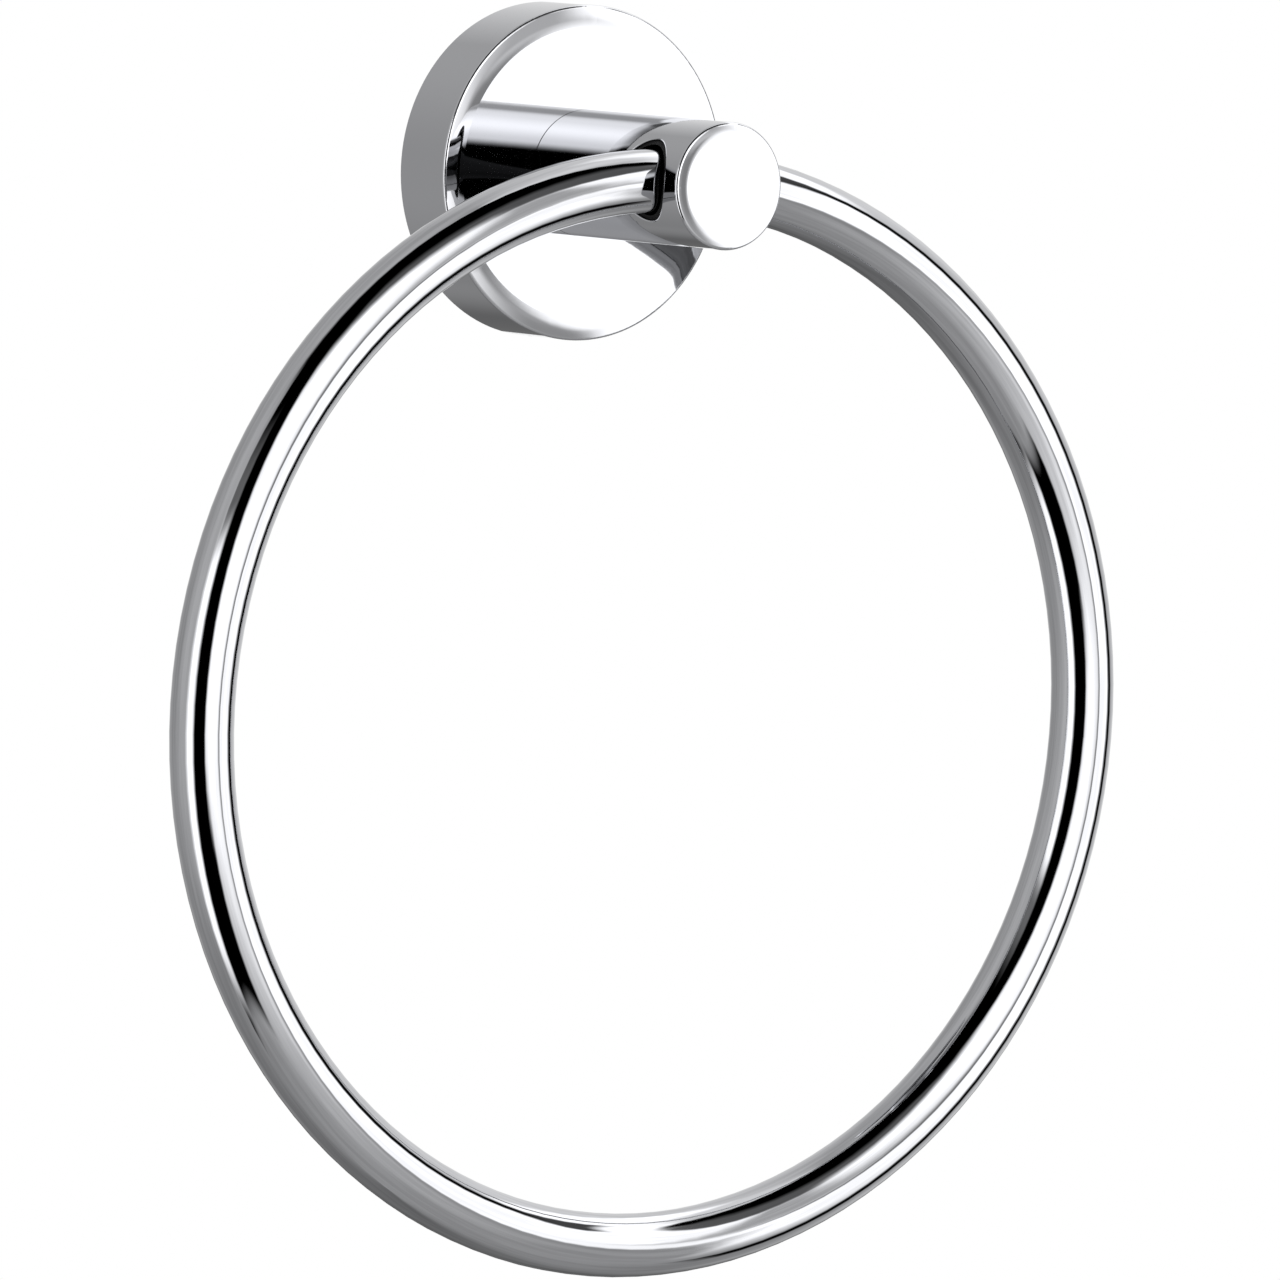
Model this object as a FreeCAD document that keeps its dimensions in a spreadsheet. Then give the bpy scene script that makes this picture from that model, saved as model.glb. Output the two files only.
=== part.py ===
import FreeCAD, Part
import math
import os
import Sketcher
from FreeCAD import Placement, Rotation, Vector

# Wall-mounted towel ring, in millimetres.
# The wall is the plane y = 0, the post stands out from it along -Y, and +Z is up.
# The origin is the centre of the flange's back, on the wall.

# Driving dimensions: name, value, what it is.
SIZES = [
    ("flange_diameter", 53.0, "cover, across its straight side"),
    ("flange_depth", 12.5, "wall to the cover's flat face"),
    ("side_wall", 2.6, "cover, thickness of its side"),
    ("face_wall", 3.5, "cover, thickness of its face"),
    ("rim_radius", 0.5, "cover, rounded edge between side and face"),
    ("face_roll_width", 3.4, "cover, band where the face rolls off to its edge"),
    ("face_roll_drop", 0.25, "cover, how far the face drops in that band"),
    ("inner_corner_radius", 1.0, "cover, inside corner"),
    ("post_diameter", 20.0, "post"),
    ("post_length", 40.0, "post, from the cover's face to its front"),
    ("front_radius", 0.5, "post, rounded edge of the front face"),
    ("front_roll_width", 2.0, "post, band where the front face rolls off to its edge"),
    ("front_roll_drop", 0.1, "post, how far the front face drops in that band"),
    ("base_chamfer", 0.12, "post, broken edge where it stands on the cover"),
    ("spigot_diameter", 9.0, "post, its rear end inside the cover"),
    ("spigot_flats", 7.4, "post, across the spigot's two flats, which stop it turning"),
    ("spigot_length", 2.6, "post, spigot into the cover"),
    ("seat_clearance", 0.05, "spigot in its hole, on each side"),
    ("front_wall", 3.5, "post, metal between the cross-hole and the front"),
    ("hole_edge", 0.2, "post, rounded edge of the cross-hole"),
    ("ring_diameter", 167.0, "ring, across its centreline"),
    ("tube_diameter", 10.0, "ring, its tube"),
    ("tube_wall", 1.2, "ring, its tube's thickness"),
    ("swing_clearance", 0.25, "bent tube inside the straight liner, on each side"),
    ("bush_wall", 0.7, "liner, thickness"),
    ("bush_fit", 0.02, "liner in the cross-hole, on each side"),
    ("bush_recess", 0.35, "liner, its ends below the post's round"),
    ("screw_diameter", 5.0, "post screw, thread"),
    ("screw_engagement", 10.0, "post screw, thread past the cover's face"),
    ("thread_clearance", 0.05, "a thread in its tapped hole, on each side"),
    ("tap_run_out", 4.0, "tapped hole past the screw's end"),
    ("screw_head_diameter", 8.6, "post screw, head"),
    ("screw_head_height", 3.0, "post screw, head"),
    ("socket_flats", 3.0, "post screw, hexagon socket"),
    ("socket_depth", 1.8, "post screw, hexagon socket"),
    ("washer_diameter", 13.0, "washer"),
    ("washer_thickness", 1.0, "washer"),
    ("washer_clearance", 0.2, "washer round the thread, on each side"),
    ("plate_clearance", 0.4, "wall plate inside the cover's side"),
    ("plate_gap", 1.0, "wall plate behind the cover's face"),
    ("plate_edge", 0.5, "wall plate, chamfer of its front edge"),
    ("plate_hole_clearance", 0.5, "wall plate's middle hole round the washer, on each side"),
    ("plate_lip", 2.9, "wall plate, between the wall and the groove"),
    ("groove_depth", 1.1, "wall plate, groove for the grub screw's point"),
    ("slot_spacing", 28.0, "wall plate, between the slots for the wall screws"),
    ("slot_width", 4.8, "wall plate, slots"),
    ("slot_length", 7.6, "wall plate, slots end to end"),
    ("seat_width", 8.4, "wall plate, sunk seats for the wall screws' heads"),
    ("seat_depth", 3.6, "wall plate, sunk seats"),
    ("grub_diameter", 4.0, "grub screw, thread"),
    ("grub_recess", 0.5, "grub screw's outer end inside the cover's side"),
    ("grub_gap", 0.1, "grub screw's point to the bottom of the groove"),
    ("grub_socket_flats", 2.0, "grub screw, hexagon socket"),
    ("grub_socket_depth", 1.3, "grub screw, hexagon socket"),
]

# Sizes that follow from the ones above.
FACE_INSIDE = "(Sizes.flange_depth - Sizes.face_wall)"
RIM_HEIGHT = "(Sizes.flange_depth - Sizes.face_roll_drop)"
BORE_RADIUS = "(Sizes.flange_diameter / 2 - Sizes.side_wall)"
PLATE_RADIUS = "(%s - Sizes.plate_clearance)" % BORE_RADIUS
PLATE_FRONT = "(%s - Sizes.plate_gap)" % FACE_INSIDE
GRUB_HEIGHT = "(Sizes.plate_lip + Sizes.groove_depth)"
GRUB_POINT = "(%s - Sizes.groove_depth + Sizes.grub_gap)" % PLATE_RADIUS
GRUB_LENGTH = "(Sizes.flange_diameter / 2 - Sizes.grub_recess - %s)" % GRUB_POINT
WASHER_REAR = "(%s - Sizes.washer_thickness)" % FACE_INSIDE
SCREW_REAR = "(%s - Sizes.screw_head_height)" % WASHER_REAR
SCREW_TIP = "(Sizes.flange_depth + Sizes.screw_engagement)"
SPIGOT_REAR = "(Sizes.flange_depth - Sizes.spigot_length)"
# Rise of the ring's bent tube over the width of the post, measured along its centreline.
TUBE_RISE = ("(Sizes.ring_diameter / 2"
             " - sqrt((Sizes.ring_diameter / 2) ^ 2 - (Sizes.post_diameter / 2) ^ 2))")
LINER_BORE = "(Sizes.tube_diameter / 2 + %s / 2 + Sizes.swing_clearance)" % TUBE_RISE
LINER_RADIUS = "(%s + Sizes.bush_wall)" % LINER_BORE
HOLE_RADIUS = "(%s + Sizes.bush_fit)" % LINER_RADIUS
POST_FRONT = "(Sizes.flange_depth + Sizes.post_length)"
FRONT_EDGE = "(%s - Sizes.front_roll_drop)" % POST_FRONT
HOLE_OUT = "(%s - Sizes.front_wall - %s)" % (POST_FRONT, HOLE_RADIUS)

doc = FreeCAD.newDocument("TowelRing")
sheet = doc.addObject("Spreadsheet::Sheet", "Sizes")
for row, (name, value, note) in enumerate(SIZES, start=1):
    sheet.set("A%d" % row, name)
    sheet.set("B%d" % row, str(value))
    sheet.set("C%d" % row, note)
    sheet.setAlias("B%d" % row, name)
doc.recompute()


def worked(formula):
    """The present value of a formula."""
    return float(sheet.evalExpression(formula))


def origin_plane(body, role):
    return next(plane for plane in body.Origin.OriginFeatures if plane.Role == role)


def new_body(name):
    body = doc.addObject("PartDesign::Body", name + "_body")
    body.Placement = Placement(Vector(0, 0, 0), Rotation())
    return body


def new_sketch(body, name, role, offset=None):
    """A sketch on an origin plane of its body, moved along the plane's normal by the offset."""
    sketch = body.newObject("Sketcher::SketchObject", name)
    sketch.AttachmentSupport = [(origin_plane(body, role), "")]
    sketch.MapMode = "FlatFace"
    if offset:
        sketch.setExpression(".AttachmentOffset.Base.z", offset)
    doc.recompute()
    return sketch


def dimension(sketch, name, formula, kind, *where):
    """A named dimension of a sketch, bound to a formula."""
    number = sketch.addConstraint(Sketcher.Constraint(kind, *where, worked(formula)))
    sketch.renameConstraint(number, name)
    sketch.setExpression("Constraints." + name, formula)


def place_point(sketch, name, element, end, across, up):
    """Holds a point at two distances from the sketch's origin. "0" puts it on an axis, "-" leads to the left."""
    for suffix, kind, formula, axis in (("_across", "DistanceX", across, -2), ("_up", "DistanceY", up, -1)):
        if formula == "0":
            sketch.addConstraint(Sketcher.Constraint("PointOnObject", element, end, axis))
        elif formula.startswith("-"):
            dimension(sketch, name + suffix, formula[1:], kind, element, end, -1, 1)
        else:
            dimension(sketch, name + suffix, formula, kind, -1, 1, element, end)


def join_ends(sketch, count, smooth=None):
    """Joins each side's end to the next side's start. The side named smooth runs tangent into the next."""
    for number in range(count):
        kind = "Tangent" if number == smooth else "Coincident"
        sketch.addConstraint(Sketcher.Constraint(kind, number, 2, (number + 1) % count, 1))


def tangent_arc(start, end, after):
    """The anticlockwise arc from start to end that runs on along the line from end to after."""
    along = (after - end).normalize()
    square = Vector(-along.y, along.x, 0)
    chord = start - end
    middle = end + square * (chord.dot(chord) / (2 * chord.dot(square)))
    angles = [math.atan2(point.y - middle.y, point.x - middle.x) for point in (start, end)]
    if angles[1] < angles[0]:
        angles[1] += 2 * math.pi
    return Part.ArcOfCircle(Part.Circle(middle, Vector(0, 0, 1), (start - middle).Length), *angles)


def outline(sketch, corners, arc=None):
    """A closed outline through the corners, each given by two formulas.

    Its sides are straight, but side number arc, if named, is a tangent arc.
    """
    points = []
    for across, up in corners:
        signs = [-1 if formula.startswith("-") else 1 for formula in (across, up)]
        points.append(Vector(signs[0] * worked(across.lstrip("-")), signs[1] * worked(up.lstrip("-")), 0))
    count = len(points)
    for number, start in enumerate(points):
        end = points[(number + 1) % count]
        if number == arc:
            sketch.addGeometry(tangent_arc(start, end, points[(number + 2) % count]))
        else:
            sketch.addGeometry(Part.LineSegment(start, end))
    join_ends(sketch, count, arc)
    for number, (across, up) in enumerate(corners):
        place_point(sketch, "corner%d" % number, number, 1, across, up)
    doc.recompute()


def circle(sketch, radius, across="0", up="0"):
    """A circle whose centre is at the sketch's origin, or left of it or below it."""
    centre = Vector(-worked(across.lstrip("-")), -worked(up.lstrip("-")), 0)
    number = sketch.addGeometry(Part.Circle(centre, Vector(0, 0, 1), worked(radius)))
    place_point(sketch, "centre", number, 3, across, up)
    dimension(sketch, "radius", radius, "Radius", number)
    doc.recompute()


def flatted_round(sketch, radius, half_flats):
    """A circle with two parallel flats, left and right."""
    reach = worked(radius)
    side = worked(half_flats)
    angle = math.acos(side / reach)
    top = reach * math.sin(angle)
    full = Part.Circle(Vector(0, 0, 0), Vector(0, 0, 1), reach)
    sketch.addGeometry(Part.ArcOfCircle(full, angle, math.pi - angle))
    sketch.addGeometry(Part.LineSegment(Vector(-side, top, 0), Vector(-side, -top, 0)))
    sketch.addGeometry(Part.ArcOfCircle(full, math.pi + angle, 2 * math.pi - angle))
    sketch.addGeometry(Part.LineSegment(Vector(side, -top, 0), Vector(side, top, 0)))
    join_ends(sketch, 4)
    sketch.addConstraint(Sketcher.Constraint("Coincident", 0, 3, -1, 1))
    sketch.addConstraint(Sketcher.Constraint("Coincident", 2, 3, -1, 1))
    sketch.addConstraint(Sketcher.Constraint("Vertical", 1))
    sketch.addConstraint(Sketcher.Constraint("Vertical", 3))
    dimension(sketch, "radius", radius, "Radius", 0)
    dimension(sketch, "left", half_flats, "DistanceX", 1, 1, -1, 1)
    dimension(sketch, "right", half_flats, "DistanceX", -1, 1, 3, 1)
    doc.recompute()


def slot(sketch, middle, length, width):
    """A level slot with round ends."""
    half = worked(width) / 2
    run = worked(length) / 2 - half
    centre = worked(middle)
    quarter = math.pi / 2
    right_end = Part.Circle(Vector(centre + run, 0, 0), Vector(0, 0, 1), half)
    left_end = Part.Circle(Vector(centre - run, 0, 0), Vector(0, 0, 1), half)
    sketch.addGeometry(Part.ArcOfCircle(right_end, -quarter, quarter))
    sketch.addGeometry(Part.LineSegment(Vector(centre + run, half, 0), Vector(centre - run, half, 0)))
    sketch.addGeometry(Part.ArcOfCircle(left_end, quarter, 3 * quarter))
    sketch.addGeometry(Part.LineSegment(Vector(centre - run, -half, 0), Vector(centre + run, -half, 0)))
    for number in range(4):
        sketch.addConstraint(Sketcher.Constraint("Tangent", number, 2, (number + 1) % 4, 1))
    sketch.addConstraint(Sketcher.Constraint("Equal", 0, 2))
    dimension(sketch, "end_radius", "%s / 2" % width, "Radius", 0)
    place_point(sketch, "right_end", 0, 3, "%s + (%s - %s) / 2" % (middle, length, width), "0")
    place_point(sketch, "left_end", 2, 3, "%s - (%s - %s) / 2" % (middle, length, width), "0")
    doc.recompute()


def revolve(body, name, sketch, axis="H_Axis"):
    turned = body.newObject("PartDesign::Revolution", name)
    turned.Profile = sketch
    turned.ReferenceAxis = (sketch, [axis])
    turned.Angle = 360
    doc.recompute()
    return turned


def pad(body, name, sketch, length, backwards=False):
    feature = body.newObject("PartDesign::Pad", name)
    feature.Profile = sketch
    feature.setExpression("Length", length)
    feature.Reversed = backwards
    doc.recompute()
    return feature


def pocket(body, name, sketch, length, forwards=False, both_ways=False):
    """Cuts along the sketch's normal (forwards), against it, or both ways, and tests that metal went."""
    before = body.Shape.Volume
    feature = body.newObject("PartDesign::Pocket", name)
    feature.Profile = sketch
    feature.setExpression("Length", length)
    feature.Reversed = forwards
    feature.Midplane = both_ways
    doc.recompute()
    if body.Shape.Volume > before - 0.1:
        raise RuntimeError(name + " cuts nothing")
    return feature


def edges_where(shape, test):
    """Names of the edges of which every sampled point passes the test."""
    names = []
    for number, edge in enumerate(shape.Edges, start=1):
        if all(test(point) for point in edge.discretize(9)):
            names.append("Edge%d" % number)
    if not names:
        raise RuntimeError("no such edge")
    return names


def dress(body, name, test, radius):
    """A fillet on the edges that pass the test."""
    base = body.Tip
    feature = body.newObject("PartDesign::Fillet", name)
    feature.Base = (base, edges_where(base.Shape, test))
    feature.setExpression("Radius", radius)
    doc.recompute()
    return feature


def round_edge(body, name, reach, out, radius):
    """A fillet on the circle about the post's axis at this reach from it and this far out from the wall."""
    circle_radius = worked(reach)
    height = worked(out)
    dress(body, name,
          lambda point: (abs(point.y + height) < 1e-3
                         and abs(math.hypot(point.x, point.z) - circle_radius) < 1e-3),
          radius)


def cylinder(name, radius, height, turn=None):
    thing = doc.addObject("Part::Cylinder", name)
    thing.setExpression("Radius", radius)
    thing.setExpression("Height", height)
    thing.Placement = Placement(Vector(0, 0, 0), turn or Rotation())
    return thing


def hexagon(name, flats, height, turn=None):
    thing = doc.addObject("Part::Prism", name)
    thing.Polygon = 6
    thing.setExpression("Circumradius", "%s / sqrt(3)" % flats)
    thing.setExpression("Height", height)
    thing.Placement = Placement(Vector(0, 0, 0), turn or Rotation())
    return thing


def combine(kind, name, base, tool):
    thing = doc.addObject("Part::" + kind, name)
    thing.Base = base
    thing.Tool = tool
    doc.recompute()
    return thing


# Turns that lay an upright cylinder along the post's axis, pointing out from the wall, and along +X.
OUTWARD = Rotation(Vector(1, 0, 0), 90)
SIDEWAYS = Rotation(Vector(0, 1, 0), 90)


def make_flange_cover():
    """Cup turned in one piece: straight side, bright edge, and a flat face that rolls off near that edge."""
    body = new_body("flange_cover")
    outer = "Sizes.flange_diameter / 2"
    section = new_sketch(body, "cover_section", "YZ_Plane")
    outline(section, [
        ("0", BORE_RADIUS),
        ("0", outer),
        ("-" + RIM_HEIGHT, outer),
        ("-Sizes.flange_depth", outer + " - Sizes.face_roll_width"),
        ("-Sizes.flange_depth", "0"),
        ("-" + FACE_INSIDE, "0"),
        ("-" + FACE_INSIDE, BORE_RADIUS),
    ], arc=2)
    revolve(body, "cover_turned", section)
    round_edge(body, "cover_rim", outer, RIM_HEIGHT, "Sizes.rim_radius")
    round_edge(body, "cover_inner_corner", BORE_RADIUS, FACE_INSIDE, "Sizes.inner_corner_radius")
    key_hole = new_sketch(body, "cover_key_hole", "XZ_Plane", "Sizes.flange_depth")
    flatted_round(key_hole, "Sizes.spigot_diameter / 2 + Sizes.seat_clearance",
                  "Sizes.spigot_flats / 2 + Sizes.seat_clearance")
    pocket(body, "cover_key_hole_cut", key_hole, "Sizes.flange_depth")
    grub_hole = new_sketch(body, "cover_grub_hole", "XY_Plane")
    circle(grub_hole, "Sizes.grub_diameter / 2 + Sizes.thread_clearance", up="-" + GRUB_HEIGHT)
    pocket(body, "cover_grub_hole_cut", grub_hole, "Sizes.flange_diameter")
    return body


def make_post():
    """Straight bar with a flatted spigot and a tapped hole behind, and the ring's cross-hole near its front."""
    body = new_body("post")
    outer = "Sizes.post_diameter / 2"
    section = new_sketch(body, "post_section", "YZ_Plane")
    outline(section, [
        ("-Sizes.flange_depth", "0"),
        ("-Sizes.flange_depth", outer + " - Sizes.base_chamfer"),
        ("-(Sizes.flange_depth + Sizes.base_chamfer)", outer),
        ("-" + FRONT_EDGE, outer),
        ("-" + POST_FRONT, outer + " - Sizes.front_roll_width"),
        ("-" + POST_FRONT, "0"),
    ], arc=3)
    revolve(body, "post_turned", section)
    round_edge(body, "post_front_edge", outer, FRONT_EDGE, "Sizes.front_radius")
    spigot = new_sketch(body, "post_spigot", "XZ_Plane", "Sizes.flange_depth")
    flatted_round(spigot, "Sizes.spigot_diameter / 2", "Sizes.spigot_flats / 2")
    pad(body, "post_spigot_pad", spigot, "Sizes.spigot_length", backwards=True)
    tapped = new_sketch(body, "post_tapped_hole", "XZ_Plane", SPIGOT_REAR)
    circle(tapped, "Sizes.screw_diameter / 2 + Sizes.thread_clearance")
    pocket(body, "post_tapped_hole_cut", tapped,
           "Sizes.spigot_length + Sizes.screw_engagement + Sizes.tap_run_out", forwards=True)
    cross_hole = new_sketch(body, "post_cross_hole", "YZ_Plane")
    circle(cross_hole, HOLE_RADIUS, across="-" + HOLE_OUT)
    pocket(body, "post_cross_hole_cut", cross_hole, "2 * Sizes.post_diameter", both_ways=True)
    # The two saddle-shaped edges where the hole breaks out of the round are lightly rounded.
    hole_out = worked(HOLE_OUT)
    hole_radius = worked(HOLE_RADIUS)
    bar_radius = worked(outer)
    dress(body, "post_hole_edges",
          lambda point: (abs(math.hypot(point.y + hole_out, point.z) - hole_radius) < 1e-3
                         and abs(math.hypot(point.x, point.z) - bar_radius) < 1e-3),
          "Sizes.hole_edge")
    return body


def make_ring():
    """Round tube bent to a closed circle. It hangs so that its bend is centred in the straight liner."""
    outside = doc.addObject("Part::Torus", "ring_outside")
    inside = doc.addObject("Part::Torus", "ring_inside")
    for torus, radius in ((outside, "Sizes.tube_diameter / 2"),
                          (inside, "Sizes.tube_diameter / 2 - Sizes.tube_wall")):
        torus.setExpression("Radius1", "Sizes.ring_diameter / 2")
        torus.setExpression("Radius2", radius)
        torus.Placement = Placement(Vector(0, 0, 0), OUTWARD)
        torus.setExpression(".Placement.Base.y", "-" + HOLE_OUT)
        torus.setExpression(".Placement.Base.z", "%s / 2 - Sizes.ring_diameter / 2" % TUBE_RISE)
    return combine("Cut", "ring_tube", outside, inside)


def make_ring_bush():
    """Straight liner of the cross-hole. Its ends follow the post's round."""
    outside = cylinder("bush_outside", LINER_RADIUS, "Sizes.post_diameter", SIDEWAYS)
    inside = cylinder("bush_inside", LINER_BORE, "Sizes.post_diameter", SIDEWAYS)
    for round_bar in (outside, inside):
        round_bar.setExpression(".Placement.Base.x", "-Sizes.post_diameter / 2")
        round_bar.setExpression(".Placement.Base.y", "-" + HOLE_OUT)
    liner = combine("Cut", "bush_liner", outside, inside)
    ends = cylinder("bush_ends", "Sizes.post_diameter / 2 - Sizes.bush_recess", POST_FRONT, OUTWARD)
    return combine("Common", "bush_trimmed", liner, ends)


def make_wall_plate():
    """Plate that is screwed to the wall: two sunk slots, a middle hole, and a V-groove round its edge."""
    body = new_body("wall_plate")
    middle = "Sizes.washer_diameter / 2 + Sizes.plate_hole_clearance"
    section = new_sketch(body, "plate_section", "YZ_Plane")
    outline(section, [
        ("0", middle),
        ("0", PLATE_RADIUS),
        ("-Sizes.plate_lip", PLATE_RADIUS),
        ("-" + GRUB_HEIGHT, PLATE_RADIUS + " - Sizes.groove_depth"),
        ("-(%s + Sizes.groove_depth)" % GRUB_HEIGHT, PLATE_RADIUS),
        ("-(%s - Sizes.plate_edge)" % PLATE_FRONT, PLATE_RADIUS),
        ("-" + PLATE_FRONT, PLATE_RADIUS + " - Sizes.plate_edge"),
        ("-" + PLATE_FRONT, middle),
    ])
    revolve(body, "plate_turned", section)
    slots = new_sketch(body, "plate_slot", "XZ_Plane", PLATE_FRONT)
    slot(slots, "Sizes.slot_spacing / 2", "Sizes.slot_length", "Sizes.slot_width")
    through = pocket(body, "plate_slot_cut", slots, PLATE_FRONT)
    seats = new_sketch(body, "plate_seat", "XZ_Plane", PLATE_FRONT)
    slot(seats, "Sizes.slot_spacing / 2", "(Sizes.slot_length + Sizes.seat_width - Sizes.slot_width)",
         "Sizes.seat_width")
    sunk = pocket(body, "plate_seat_cut", seats, "Sizes.seat_depth")
    both = body.newObject("PartDesign::Mirrored", "plate_both_sides")
    both.Originals = [through, sunk]
    both.MirrorPlane = (origin_plane(body, "YZ_Plane"), [""])
    body.Tip = both
    doc.recompute()
    return body


def make_post_screw():
    """Cap screw from behind, with a hexagon socket."""
    body = new_body("post_screw")
    section = new_sketch(body, "screw_section", "YZ_Plane")
    outline(section, [
        ("-" + SCREW_REAR, "0"),
        ("-" + SCREW_REAR, "Sizes.screw_head_diameter / 2"),
        ("-" + WASHER_REAR, "Sizes.screw_head_diameter / 2"),
        ("-" + WASHER_REAR, "Sizes.screw_diameter / 2"),
        ("-" + SCREW_TIP, "Sizes.screw_diameter / 2"),
        ("-" + SCREW_TIP, "0"),
    ])
    revolve(body, "screw_turned", section)
    socket = hexagon("screw_socket", "Sizes.socket_flats", "Sizes.socket_depth", OUTWARD)
    socket.setExpression(".Placement.Base.y", "-" + SCREW_REAR)
    return combine("Cut", "screw_cut", body, socket)


def make_post_washer():
    """Plain washer between the screw's head and the cover."""
    disc = cylinder("washer_disc", "Sizes.washer_diameter / 2", "Sizes.washer_thickness", OUTWARD)
    hole = cylinder("washer_hole", "Sizes.screw_diameter / 2 + Sizes.washer_clearance",
                    "Sizes.washer_thickness", OUTWARD)
    for thing in (disc, hole):
        thing.setExpression(".Placement.Base.y", "-" + WASHER_REAR)
    return combine("Cut", "washer_cut", disc, hole)


def make_grub_screw():
    """Headless screw through the cover's underside. Its point sits in the wall plate's groove."""
    body = new_body("grub_screw")
    section = new_sketch(body, "grub_section", "XZ_Plane")
    outline(section, [
        ("0", "0"),
        ("0", "-" + GRUB_LENGTH),
        ("Sizes.grub_diameter / 2", "-" + GRUB_LENGTH),
        ("Sizes.grub_diameter / 2", "-Sizes.grub_diameter / 2"),
    ])
    revolve(body, "grub_turned", section, axis="V_Axis")
    body.setExpression(".Placement.Base.y", "-" + GRUB_HEIGHT)
    body.setExpression(".Placement.Base.z", "-" + GRUB_POINT)
    socket = hexagon("grub_socket", "Sizes.grub_socket_flats", "Sizes.grub_socket_depth")
    socket.setExpression(".Placement.Base.y", "-" + GRUB_HEIGHT)
    socket.setExpression(".Placement.Base.z", "Sizes.grub_recess - Sizes.flange_diameter / 2")
    return combine("Cut", "grub_cut", body, socket)


PARTS = {
    "flange_cover": make_flange_cover,
    "post": make_post,
    "ring": make_ring,
    "ring_bush": make_ring_bush,
    "wall_plate": make_wall_plate,
    "post_screw": make_post_screw,
    "post_washer": make_post_washer,
    "grub_screw": make_grub_screw,
}
finished = []
for name, make in PARTS.items():
    piece = make()
    piece.Label = name
    finished.append(piece)
doc.recompute()

for thing in doc.Objects:
    if "Invalid" in thing.State or "Error" in thing.State:
        raise RuntimeError("%s failed: %s" % (thing.Name, thing.State))
for piece in finished:
    if piece.Shape.isNull() or not piece.Shape.isValid() or len(piece.Shape.Solids) != 1:
        raise RuntimeError("%s has no valid solid" % piece.Label)

os.makedirs("parts", exist_ok=True)
for piece in finished:
    piece.Shape.exportStep("parts/%s.step" % piece.Label)
    box = piece.Shape.optimalBoundingBox(False, False)
    print("%-13s %9.1f mm3  x %6.2f %6.2f  y %6.2f %6.2f  z %7.2f %6.2f"
          % (piece.Label, piece.Shape.Volume, box.XMin, box.XMax, box.YMin, box.YMax, box.ZMin, box.ZMax))
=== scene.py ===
import math

import bmesh
import bpy
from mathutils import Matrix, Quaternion, Vector


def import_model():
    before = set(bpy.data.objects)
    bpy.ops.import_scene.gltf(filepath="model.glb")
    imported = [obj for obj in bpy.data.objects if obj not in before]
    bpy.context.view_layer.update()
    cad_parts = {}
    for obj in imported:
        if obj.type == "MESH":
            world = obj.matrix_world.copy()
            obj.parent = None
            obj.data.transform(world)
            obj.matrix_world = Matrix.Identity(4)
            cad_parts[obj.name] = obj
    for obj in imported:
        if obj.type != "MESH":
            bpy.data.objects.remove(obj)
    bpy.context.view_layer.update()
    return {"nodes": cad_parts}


# Towel ring on its wall fitting. Metres, the wall is y = 0, the post stands out along -Y and +Z is up.

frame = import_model()

# The photograph's view.
VIEW_AZIMUTH = math.radians(-34.79)
VIEW_ELEVATION = math.radians(2.164)
VIEW_ROLL = math.radians(4.644)
VIEW_DISTANCE = 2.4
VIEW_TARGET = Vector((-0.00194, -0.041, -0.07182))
FOCAL_LENGTH = 431.94
SENSOR_WIDTH = 36.0
CLIP_START = 0.05
CLIP_END = 100.0

# The studio round the object.
ROOM_RADIUS = 7.0
ROOM_SEGMENTS = 180
ROOM_RINGS = 90
BACKDROP_OPENING = math.radians(9.0)
LAMP_DISTANCE = 2.0
LAMP_RADIANCE = 0.7
FLOOR_HEIGHT = -6.0
FLOOR_SIZE = 8.0
FLOOR_TONE = 0.9
PLAIN_LEVEL = 0.78
WHITE = (1.0, 1.0, 1.0, 1.0)

# The plating's tone, and how far its red, green and blue lie from it.
CHROME_TONE = 0.62
CHROME_SHIFT = (-0.005, 0.0, 0.022)

# The lines that buffing leaves along the tube: lines in a metre across it, metres of their pattern for each
# radian round the ring, and the shares of the chrome's tone between which they go.
LINE_FINENESS = 1300.0
LINE_STRETCH = 0.002
LINE_SHARES = (0.86, 1.03)

# The room that the chrome mirrors, in degrees as the object sees it. Azimuths run to the right from straight
# ahead of the object. Tones are the grey levels that the chrome shows: 0 is black, 255 is white and what lies
# above it is a lamp's glare.
SCREEN_GAMMA = 2.2
WALLS = ((-180, 138), (-145, 136), (-115, 162), (-95, 168), (-60, 215), (0, 205), (20, 178), (36, 142),
         (95, 174), (120, 190), (150, 184), (180, 138))
CEILING = ((-180, 150), (-120, 161), (-95, 150), (60, 185), (95, 205), (140, 198), (180, 150))
CEILING_FADE = (2, 48)
GROUND = ((-180, 104), (-110, 124), (-60, 136), (0, 142), (40, 138), (100, 124), (150, 98), (180, 104))
GROUND_FADE = (-12, -52)

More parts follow.
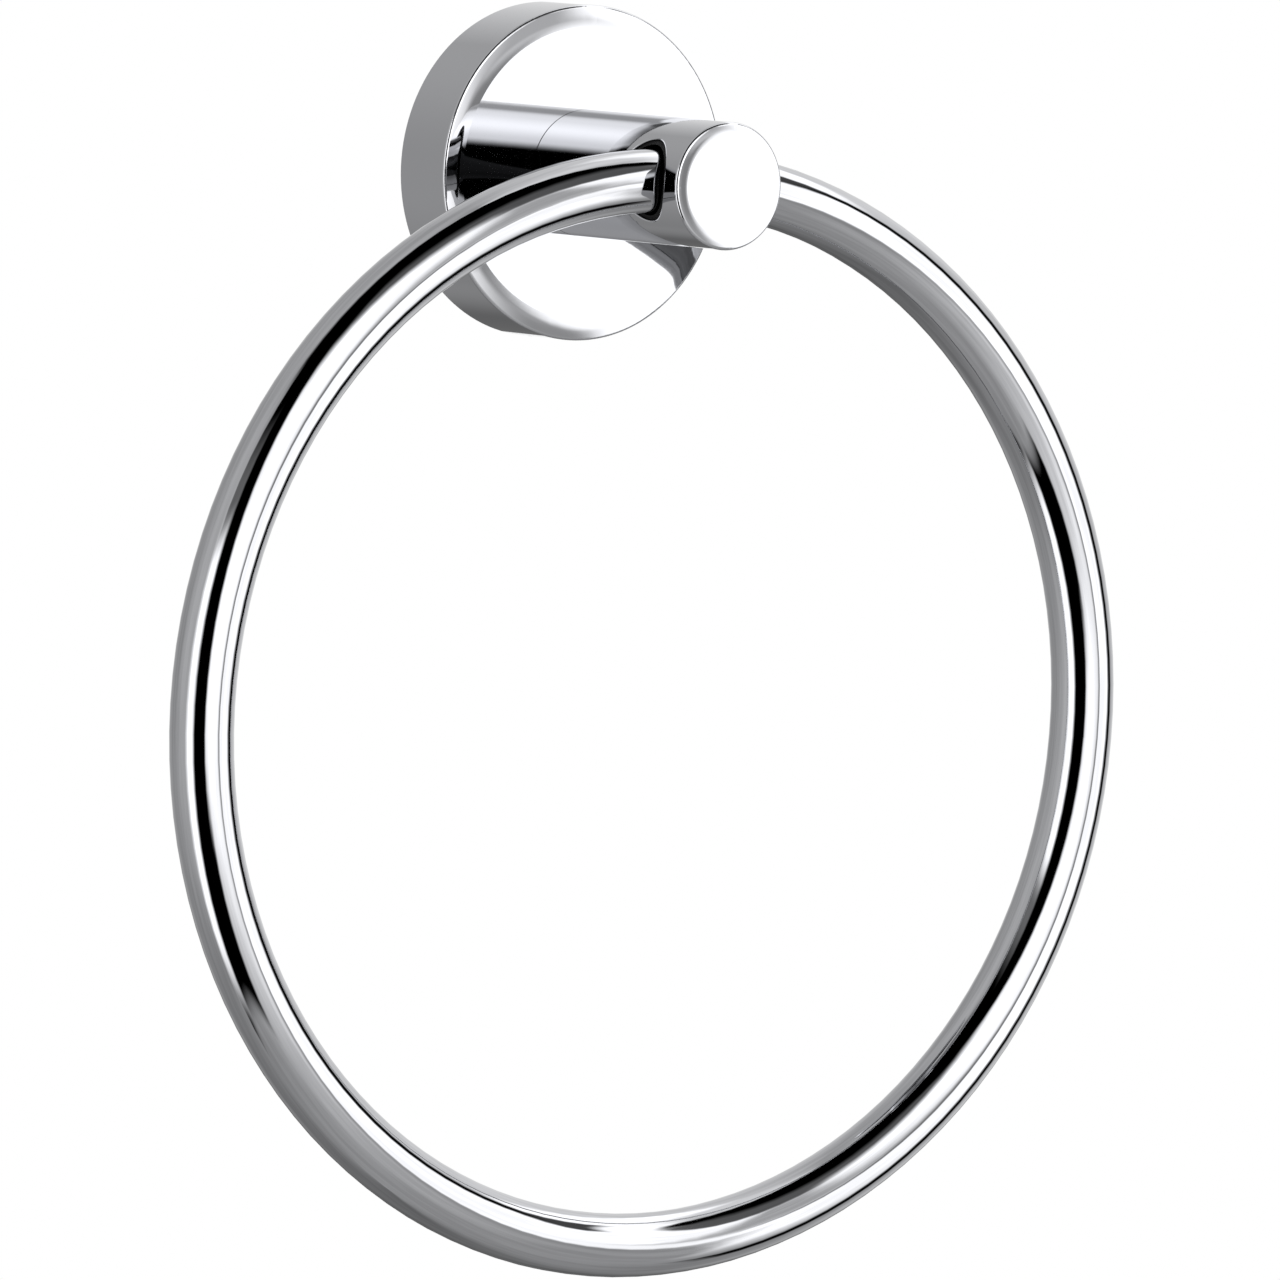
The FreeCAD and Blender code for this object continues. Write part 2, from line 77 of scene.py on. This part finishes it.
# Four-sided soft patches, painted over each other in this order: grey level, left, right, bottom and top edge.
# An edge is its place, its softness and its lean: degrees that it moves for each degree along it.
PATCHES = (
    # Dark foot of the wall behind.
    (88, (128, 24, 0), (168, 24, 0), (-46, 14, 0), (-8, 6, 0)),
    # Dark screens before and above the object.
    (0, (-88, 7, 0), (-14.5, 8, -0.16), (-32, 7, 0.33), None),
    (0, (-100, 20, 0), (42, 8, 0.4), (50, 9, 0), None),
    # Dim panel at the left and the strip box under it.
    (98, (-89, 5, 0), (-62, 8, 0), (25, 5, 0), (37, 14, 0)),
    (275, (-88.5, 14, 0), (-64, 12, 0), (-49, 18, 0), (22, 12, 0)),
    # Dim glow above the main box, top light on the right, and the dark wedge under it.
    (84, (-25, 13, 0), (48, 8, 0), (35.5, 6, 0), (57, 14, 0)),
    (264, (-13, 5, 1.3), (138, 18, 0), (23.6, 6, 0.16), (62, 8, 0)),
    (66, (51, 5, 0), (76, 7, 0), (28, 6, 0), (14, 4, 0.5)),
    # Side box at the right.
    (266, (30.6, 4, -0.6), (70, 6, 0), (-41, 28, 0.2), (34.5, 4, 0)),
    # Gap between the side box and the main box, from top to bottom.
    (164, (26, 9, -0.27), (35.8, 4, -0.27), (4, 4, 0), (36, 8, 0)),
    (122, (26.5, 6, 0), (33.2, 2.4, 0), (-3.5, 5, 0), (4, 4, 0)),
    (134, (29, 6, 0), (34, 5, -0.3), (-16, 14, 0), (-8, 4, 0)),
    # Main box and its bright middle.
    (250, (-22, 8, -0.2), (25.5, 8, -0.24), (-11.5, 12, 0.06), (39, 19, 0)),
    (320, (-12, 20, -0.1), (11, 26, -0.1), (-5, 30, 0), (38.5, 22, 0)),
)

# Dark screen right of the side box. Its sides bow by this much per squared degree.
BOWED_SCREEN = (10, (75, 7, -0.1), (91, 8, -0.12), (-46, 6, 0), (38.5, 4, 0))
SCREEN_BOW = 0.006

# Between mirrors that face each other the light dies away at the second to third bounce, to this share.
BOUNCE_FADE = (2.0, 3.0)
BOUNCE_SHARE = 0.06


def direction(azimuth, elevation):
    """Unit vector from the object. The azimuth runs to the right from straight ahead of it."""
    return Vector((math.sin(azimuth) * math.cos(elevation),
                   -math.cos(azimuth) * math.cos(elevation),
                   math.sin(elevation)))


class Nodes:
    """A node tree that is written from left to right."""

    def __init__(self, tree):
        self.tree = tree
        tree.nodes.clear()

    def add(self, kind, inputs=None, **settings):
        """A node with its settings and inputs. An input is a value or another node's output socket."""
        node = self.tree.nodes.new(kind)
        for name, value in settings.items():
            setattr(node, name, value)
        for name, value in (inputs or {}).items():
            if isinstance(value, bpy.types.NodeSocket):
                self.tree.links.new(value, node.inputs[name])
            else:
                node.inputs[name].default_value = value
        return node

    def math(self, operation, *values):
        """The output of a Math node."""
        return self.add("ShaderNodeMath", dict(enumerate(values)), operation=operation).outputs[0]

    def span(self, value, low, high, to_low=0.0, to_high=1.0, smooth=True):
        """A value mapped from one range to another and held there."""
        kind = "SMOOTHSTEP" if smooth else "LINEAR"
        inputs = {"Value": value, "From Min": low, "From Max": high, "To Min": to_low, "To Max": to_high}
        return self.add("ShaderNodeMapRange", inputs, interpolation_type=kind).outputs[0]

    def mix(self, share, first, second):
        """A colour that goes from the first to the second."""
        inputs = {"Factor": share, "A": first, "B": second}
        return self.add("ShaderNodeMix", inputs, data_type="RGBA").outputs["Result"]

    def place(self):
        """The point on the surface, in the object's own frame."""
        return self.add("ShaderNodeTexCoord").outputs["Object"]

    def split(self, vector):
        """The X, Y and Z of a vector."""
        axes = self.add("ShaderNodeSeparateXYZ", {"Vector": vector}).outputs
        return axes["X"], axes["Y"], axes["Z"]

    def noise(self, vector, scale, detail=3.0, roughness=0.5):
        """Noise from 0 to 1."""
        inputs = {"Vector": vector, "Scale": scale, "Detail": detail, "Roughness": roughness}
        return self.add("ShaderNodeTexNoise", inputs).outputs["Fac"]

    def bump(self, height, strength, distance):
        """A normal from a height."""
        inputs = {"Strength": strength, "Distance": distance, "Height": height}
        return self.add("ShaderNodeBump", inputs).outputs[0]

    def ramp(self, value, stops):
        """A ColorRamp of grey tones. Stops are (position, tone)."""
        node = self.add("ShaderNodeValToRGB", {"Fac": value})
        elements = node.color_ramp.elements
        while len(elements) < len(stops):
            elements.new(0.5)
        for element, (position, tone) in zip(elements, stops):
            element.position = position
            element.color = (tone, tone, tone, 1.0)
        return node.outputs["Color"]


# Materials

def new_material(name):
    """A material with an empty node tree."""
    material = bpy.data.materials.new(name)
    material.use_nodes = True
    return material, Nodes(material.node_tree)


def finish_material(tree, shader_inputs):
    """Closes a node tree with its shader and output."""
    shader = tree.add("ShaderNodeBsdfPrincipled", shader_inputs)
    tree.add("ShaderNodeOutputMaterial", {"Surface": shader.outputs[0]})


def chrome_tint(share):
    """The plating's colour at a share of its full tone."""
    return tuple(share * (CHROME_TONE + shift) for shift in CHROME_SHIFT) + (1.0,)


def buffed_tint(tree, place, centre):
    """The faint lines that the buffing wheel leaves along the bent tube. They start and end inside the post."""
    offset = tree.add("ShaderNodeVectorMath", {0: place, 1: centre}, operation="SUBTRACT").outputs[0]
    x, y, z = tree.split(offset)
    radius = tree.math("SQRT", tree.math("MULTIPLY_ADD", x, x, tree.math("MULTIPLY", z, z)))
    turn = tree.math("ARCTAN2", x, tree.math("MULTIPLY", z, -1.0))
    along = tree.math("MULTIPLY", turn, LINE_STRETCH)
    across = tree.add("ShaderNodeCombineXYZ", {"X": radius, "Y": y, "Z": along})
    lines = tree.noise(across.outputs[0], LINE_FINENESS, detail=3.0, roughness=0.6)
    dull, bright = (chrome_tint(share) for share in LINE_SHARES)
    return tree.mix(tree.span(lines, 0.34, 0.66), dull, bright)


def polished_chrome(name, tube_centre=None):
    """Bright chrome on turned and buffed brass. The bent tube gives its centre and gets its buffing lines."""
    material, tree = new_material(name)
    place = tree.place()
    smudge = tree.noise(place, 60.0, detail=4.0, roughness=0.6)
    grain = tree.noise(place, 2600.0, detail=2.0)
    ripple = tree.noise(place, 220.0, detail=2.0)
    finish_material(tree, {
        "Base Color": buffed_tint(tree, place, tube_centre) if tube_centre else chrome_tint(1.0),
        "Metallic": 1.0,
        "Roughness": tree.math("ADD", tree.span(smudge, 0.35, 0.75, 0.022, 0.045),
                               tree.span(grain, 0.3, 0.7, 0.0, 0.012)),
        "Normal": tree.bump(ripple, strength=0.08, distance=0.00002),
    })
    return material


def black_liner():
    """Moulded black plastic, slightly rubbed."""
    material, tree = new_material("black_liner")
    place = tree.place()
    patches = tree.noise(place, 400.0, detail=4.0)
    grain = tree.noise(place, 5000.0, detail=2.0)
    finish_material(tree, {
        "Base Color": tree.ramp(patches, [(0.3, 0.002), (0.8, 0.006)]),
        "Roughness": tree.span(patches, 0.3, 0.7, 0.38, 0.52),
        "Specular IOR Level": 0.1,
        "Normal": tree.bump(grain, strength=0.25, distance=0.00004),
    })
    return material


def cast_zinc():
    """Die-cast zinc as it leaves the tumbler."""
    material, tree = new_material("cast_zinc")
    place = tree.place()
    flow = tree.noise(place, 120.0, detail=5.0, roughness=0.6)
    pits = tree.noise(place, 1800.0)
    height = tree.math("ADD", tree.math("MULTIPLY", flow, 0.7), tree.math("MULTIPLY", pits, 0.3))
    finish_material(tree, {
        "Base Color": tree.ramp(flow, [(0.3, 0.62), (0.7, 0.74)]),
        "Metallic": 1.0,
        "Roughness": tree.span(pits, 0.3, 0.7, 0.34, 0.52),
        "Normal": tree.bump(height, strength=0.35, distance=0.0001),
    })
    return material


def plated_steel():
    """Bright zinc plate on steel screws."""
    material, tree = new_material("plated_steel")
    place = tree.place()
    tarnish = tree.noise(place, 500.0, detail=4.0)
    grain = tree.noise(place, 3000.0)
    finish_material(tree, {
        "Base Color": tree.ramp(tarnish, [(0.3, 0.60), (0.7, 0.72)]),
        "Metallic": 1.0,
        "Roughness": tree.span(tarnish, 0.3, 0.7, 0.22, 0.34),
        "Normal": tree.bump(grain, strength=0.2, distance=0.00003),
    })
    return material


def middle(node):
    """The middle of a CAD node's box, in its own frame."""
    return sum((Vector(corner) for corner in frame["nodes"][node].bound_box), Vector()) / 8


def dress(node, material):
    """Gives a CAD node its material."""
    mesh = frame["nodes"][node].data
    mesh.materials.clear()
    mesh.materials.append(material)


# Studio

def put(name, data, location):
    """A new object in the scene."""
    made = bpy.data.objects.new(name, data)
    made.location = location
    bpy.context.scene.collection.objects.link(made)
    return made


def aim(holder, back, roll):
    """Turns a lamp or a camera to look away from the direction at its back, rolled about its own axis."""
    holder.rotation_mode = "QUATERNION"
    holder.rotation_quaternion = (-back).to_track_quat("-Z", "Y") @ Quaternion((0, 0, 1), roll)


def finish_mesh(build, name, material):
    """A mesh from its bmesh, with its material."""
    mesh = bpy.data.meshes.new(name)
    build.to_mesh(mesh)
    build.free()
    mesh.materials.append(material)
    return mesh


def soft_box(name, azimuth, elevation, width, height, tilt=0.0):
    """A rectangular lamp. Its place, size and tilt are angles in degrees, as the object sees it."""
    lamp = bpy.data.lights.new(name, "AREA")
    lamp.shape = "RECTANGLE"
    lamp.size = 2 * LAMP_DISTANCE * math.tan(math.radians(width) / 2)
    lamp.size_y = 2 * LAMP_DISTANCE * math.tan(math.radians(height) / 2)
    lamp.energy = LAMP_RADIANCE * math.pi * lamp.size * lamp.size_y
    toward = direction(math.radians(azimuth), math.radians(elevation))
    holder = put(name, lamp, VIEW_TARGET + toward * LAMP_DISTANCE)
    aim(holder, toward, math.radians(tilt))
    holder.visible_camera = False
    holder.visible_glossy = False


def shade(level):
    """The room's tone that the chrome shows as this grey level."""
    return (level / 255.0) ** SCREEN_GAMMA / CHROME_TONE


def by_azimuth(stops):
    """Ramp stops from pairs of azimuth in degrees and grey level."""
    return [((azimuth + 180.0) / 360.0, shade(level)) for azimuth, level in stops]


def patch(tree, below, azimuth, elevation, level, left, right, bottom, top):
    """Paints a soft patch over the tone below it. PATCHES says what an edge is."""
    mask = None
    for edge, value, along, ends in ((left, azimuth, elevation, (0.0, 1.0)), (right, azimuth, elevation, (1.0, 0.0)),
                                     (bottom, elevation, azimuth, (0.0, 1.0)), (top, elevation, azimuth, (1.0, 0.0))):
        if edge is None:
            continue
        place, width, lean = edge
        if lean:
            value = tree.math("MULTIPLY_ADD", along, -lean, value)
        step = tree.span(value, place - width / 2, place + width / 2, *ends)
        mask = step if mask is None else tree.math("MULTIPLY", mask, step)
    change = tree.math("SUBTRACT", shade(level), below)
    return tree.math("MULTIPLY_ADD", change, mask, below)


def room_material():
    """The studio as metal sees it: soft boxes on dark screens before the object, grey walls behind it."""
    material, tree = new_material("studio_walls")
    x, y, z = tree.split(tree.place())
    azimuth = tree.math("DEGREES", tree.math("ARCTAN2", x, tree.math("MULTIPLY", y, -1.0)))
    elevation = tree.math("DEGREES", tree.math("ARCSINE", tree.math("DIVIDE", z, ROOM_RADIUS)))
    around = tree.span(azimuth, -180.0, 180.0, smooth=False)
    walls, ceiling, ground = (tree.ramp(around, by_azimuth(stops)) for stops in (WALLS, CEILING, GROUND))
    tone = tree.mix(tree.span(elevation, *CEILING_FADE), walls, ceiling)
    tone = tree.mix(tree.span(elevation, *GROUND_FADE), tone, ground)
    for numbers in PATCHES:
        tone = patch(tree, tone, azimuth, elevation, *numbers)
    bowed = tree.math("MULTIPLY_ADD", tree.math("MULTIPLY", elevation, elevation), SCREEN_BOW, azimuth)
    tone = patch(tree, tone, bowed, elevation, *BOWED_SCREEN)
    bounce = tree.add("ShaderNodeLightPath").outputs["Glossy Depth"]
    tone = tree.math("MULTIPLY", tone, tree.span(bounce, *BOUNCE_FADE, 1.0, BOUNCE_SHARE))
    shader = tree.add("ShaderNodeEmission", {"Color": tone})
    tree.add("ShaderNodeOutputMaterial", {"Surface": shader.outputs[0]})
    return material


def studio_room():
    """A shell round the studio that only reflections see, open towards the white backdrop behind the object."""
    away = -direction(VIEW_AZIMUTH, VIEW_ELEVATION)
    build = bmesh.new()
    bmesh.ops.create_uvsphere(build, u_segments=ROOM_SEGMENTS, v_segments=ROOM_RINGS, radius=ROOM_RADIUS)
    opening = [face for face in build.faces if face.calc_center_median().angle(away) < BACKDROP_OPENING]
    bmesh.ops.delete(build, geom=opening, context="FACES")
    room = put("studio_room", finish_mesh(build, "studio_room", room_material()), VIEW_TARGET)
    room.visible_camera = False
    room.visible_diffuse = False
    room.visible_shadow = False


def floor():
    """A plain pale floor, well below the fitting."""
    material, tree = new_material("pale_floor")
    mottle = tree.noise(tree.place(), 3.0)
    finish_material(tree, {
        "Base Color": tree.ramp(mottle, [(0.3, FLOOR_TONE - 0.01), (0.7, FLOOR_TONE + 0.01)]),
        "Roughness": tree.span(mottle, 0.3, 0.7, 0.75, 0.85),
    })
    build = bmesh.new()
    bmesh.ops.create_grid(build, x_segments=1, y_segments=1, size=FLOOR_SIZE / 2)
    plane = put("floor", finish_mesh(build, "floor", material), (0, 0, FLOOR_HEIGHT))
    plane.visible_glossy = False


def world():
    """White for the camera and for reflections, and PLAIN_LEVEL of it as the light on all else."""
    made = bpy.data.worlds.new("studio")
    made.use_nodes = True
    bpy.context.scene.world = made
    tree = Nodes(made.node_tree)
    path = tree.add("ShaderNodeLightPath").outputs
    seen = tree.math("MAXIMUM", path["Is Camera Ray"], path["Is Glossy Ray"])
    seen = tree.math("MAXIMUM", seen, path["Is Transmission Ray"])
    level = tree.span(seen, 0.0, 1.0, PLAIN_LEVEL, 1.0, smooth=False)
    background = tree.add("ShaderNodeBackground", {"Color": WHITE, "Strength": level})
    tree.add("ShaderNodeOutputWorld", {"Surface": background.outputs[0]})


def camera():
    """The camera at the photograph's viewing angle, with its slight roll."""
    back = direction(VIEW_AZIMUTH, VIEW_ELEVATION)
    data = bpy.data.cameras.new("camera")
    data.sensor_width = SENSOR_WIDTH
    data.lens = FOCAL_LENGTH
    data.clip_start = CLIP_START
    data.clip_end = CLIP_END
    holder = put("camera", data, VIEW_TARGET + back * VIEW_DISTANCE)
    aim(holder, back, VIEW_ROLL)
    bpy.context.scene.camera = holder


chrome = polished_chrome("turned_chrome")
steel = plated_steel()
dress("flange_cover", chrome)
dress("post", chrome)
dress("ring", polished_chrome("tube_chrome", middle("ring")))
dress("ring_bush", black_liner())
dress("wall_plate", cast_zinc())
for node in ("post_screw", "post_washer", "grub_screw"):
    dress(node, steel)

soft_box("strip_box", -75, -11, 26, 77)
soft_box("main_box", -3, 15, 46, 56, tilt=-12)
soft_box("side_box", 52, 0, 38, 78)
studio_room()
floor()
world()
camera()
bpy.context.scene.view_settings.view_transform = "Standard"
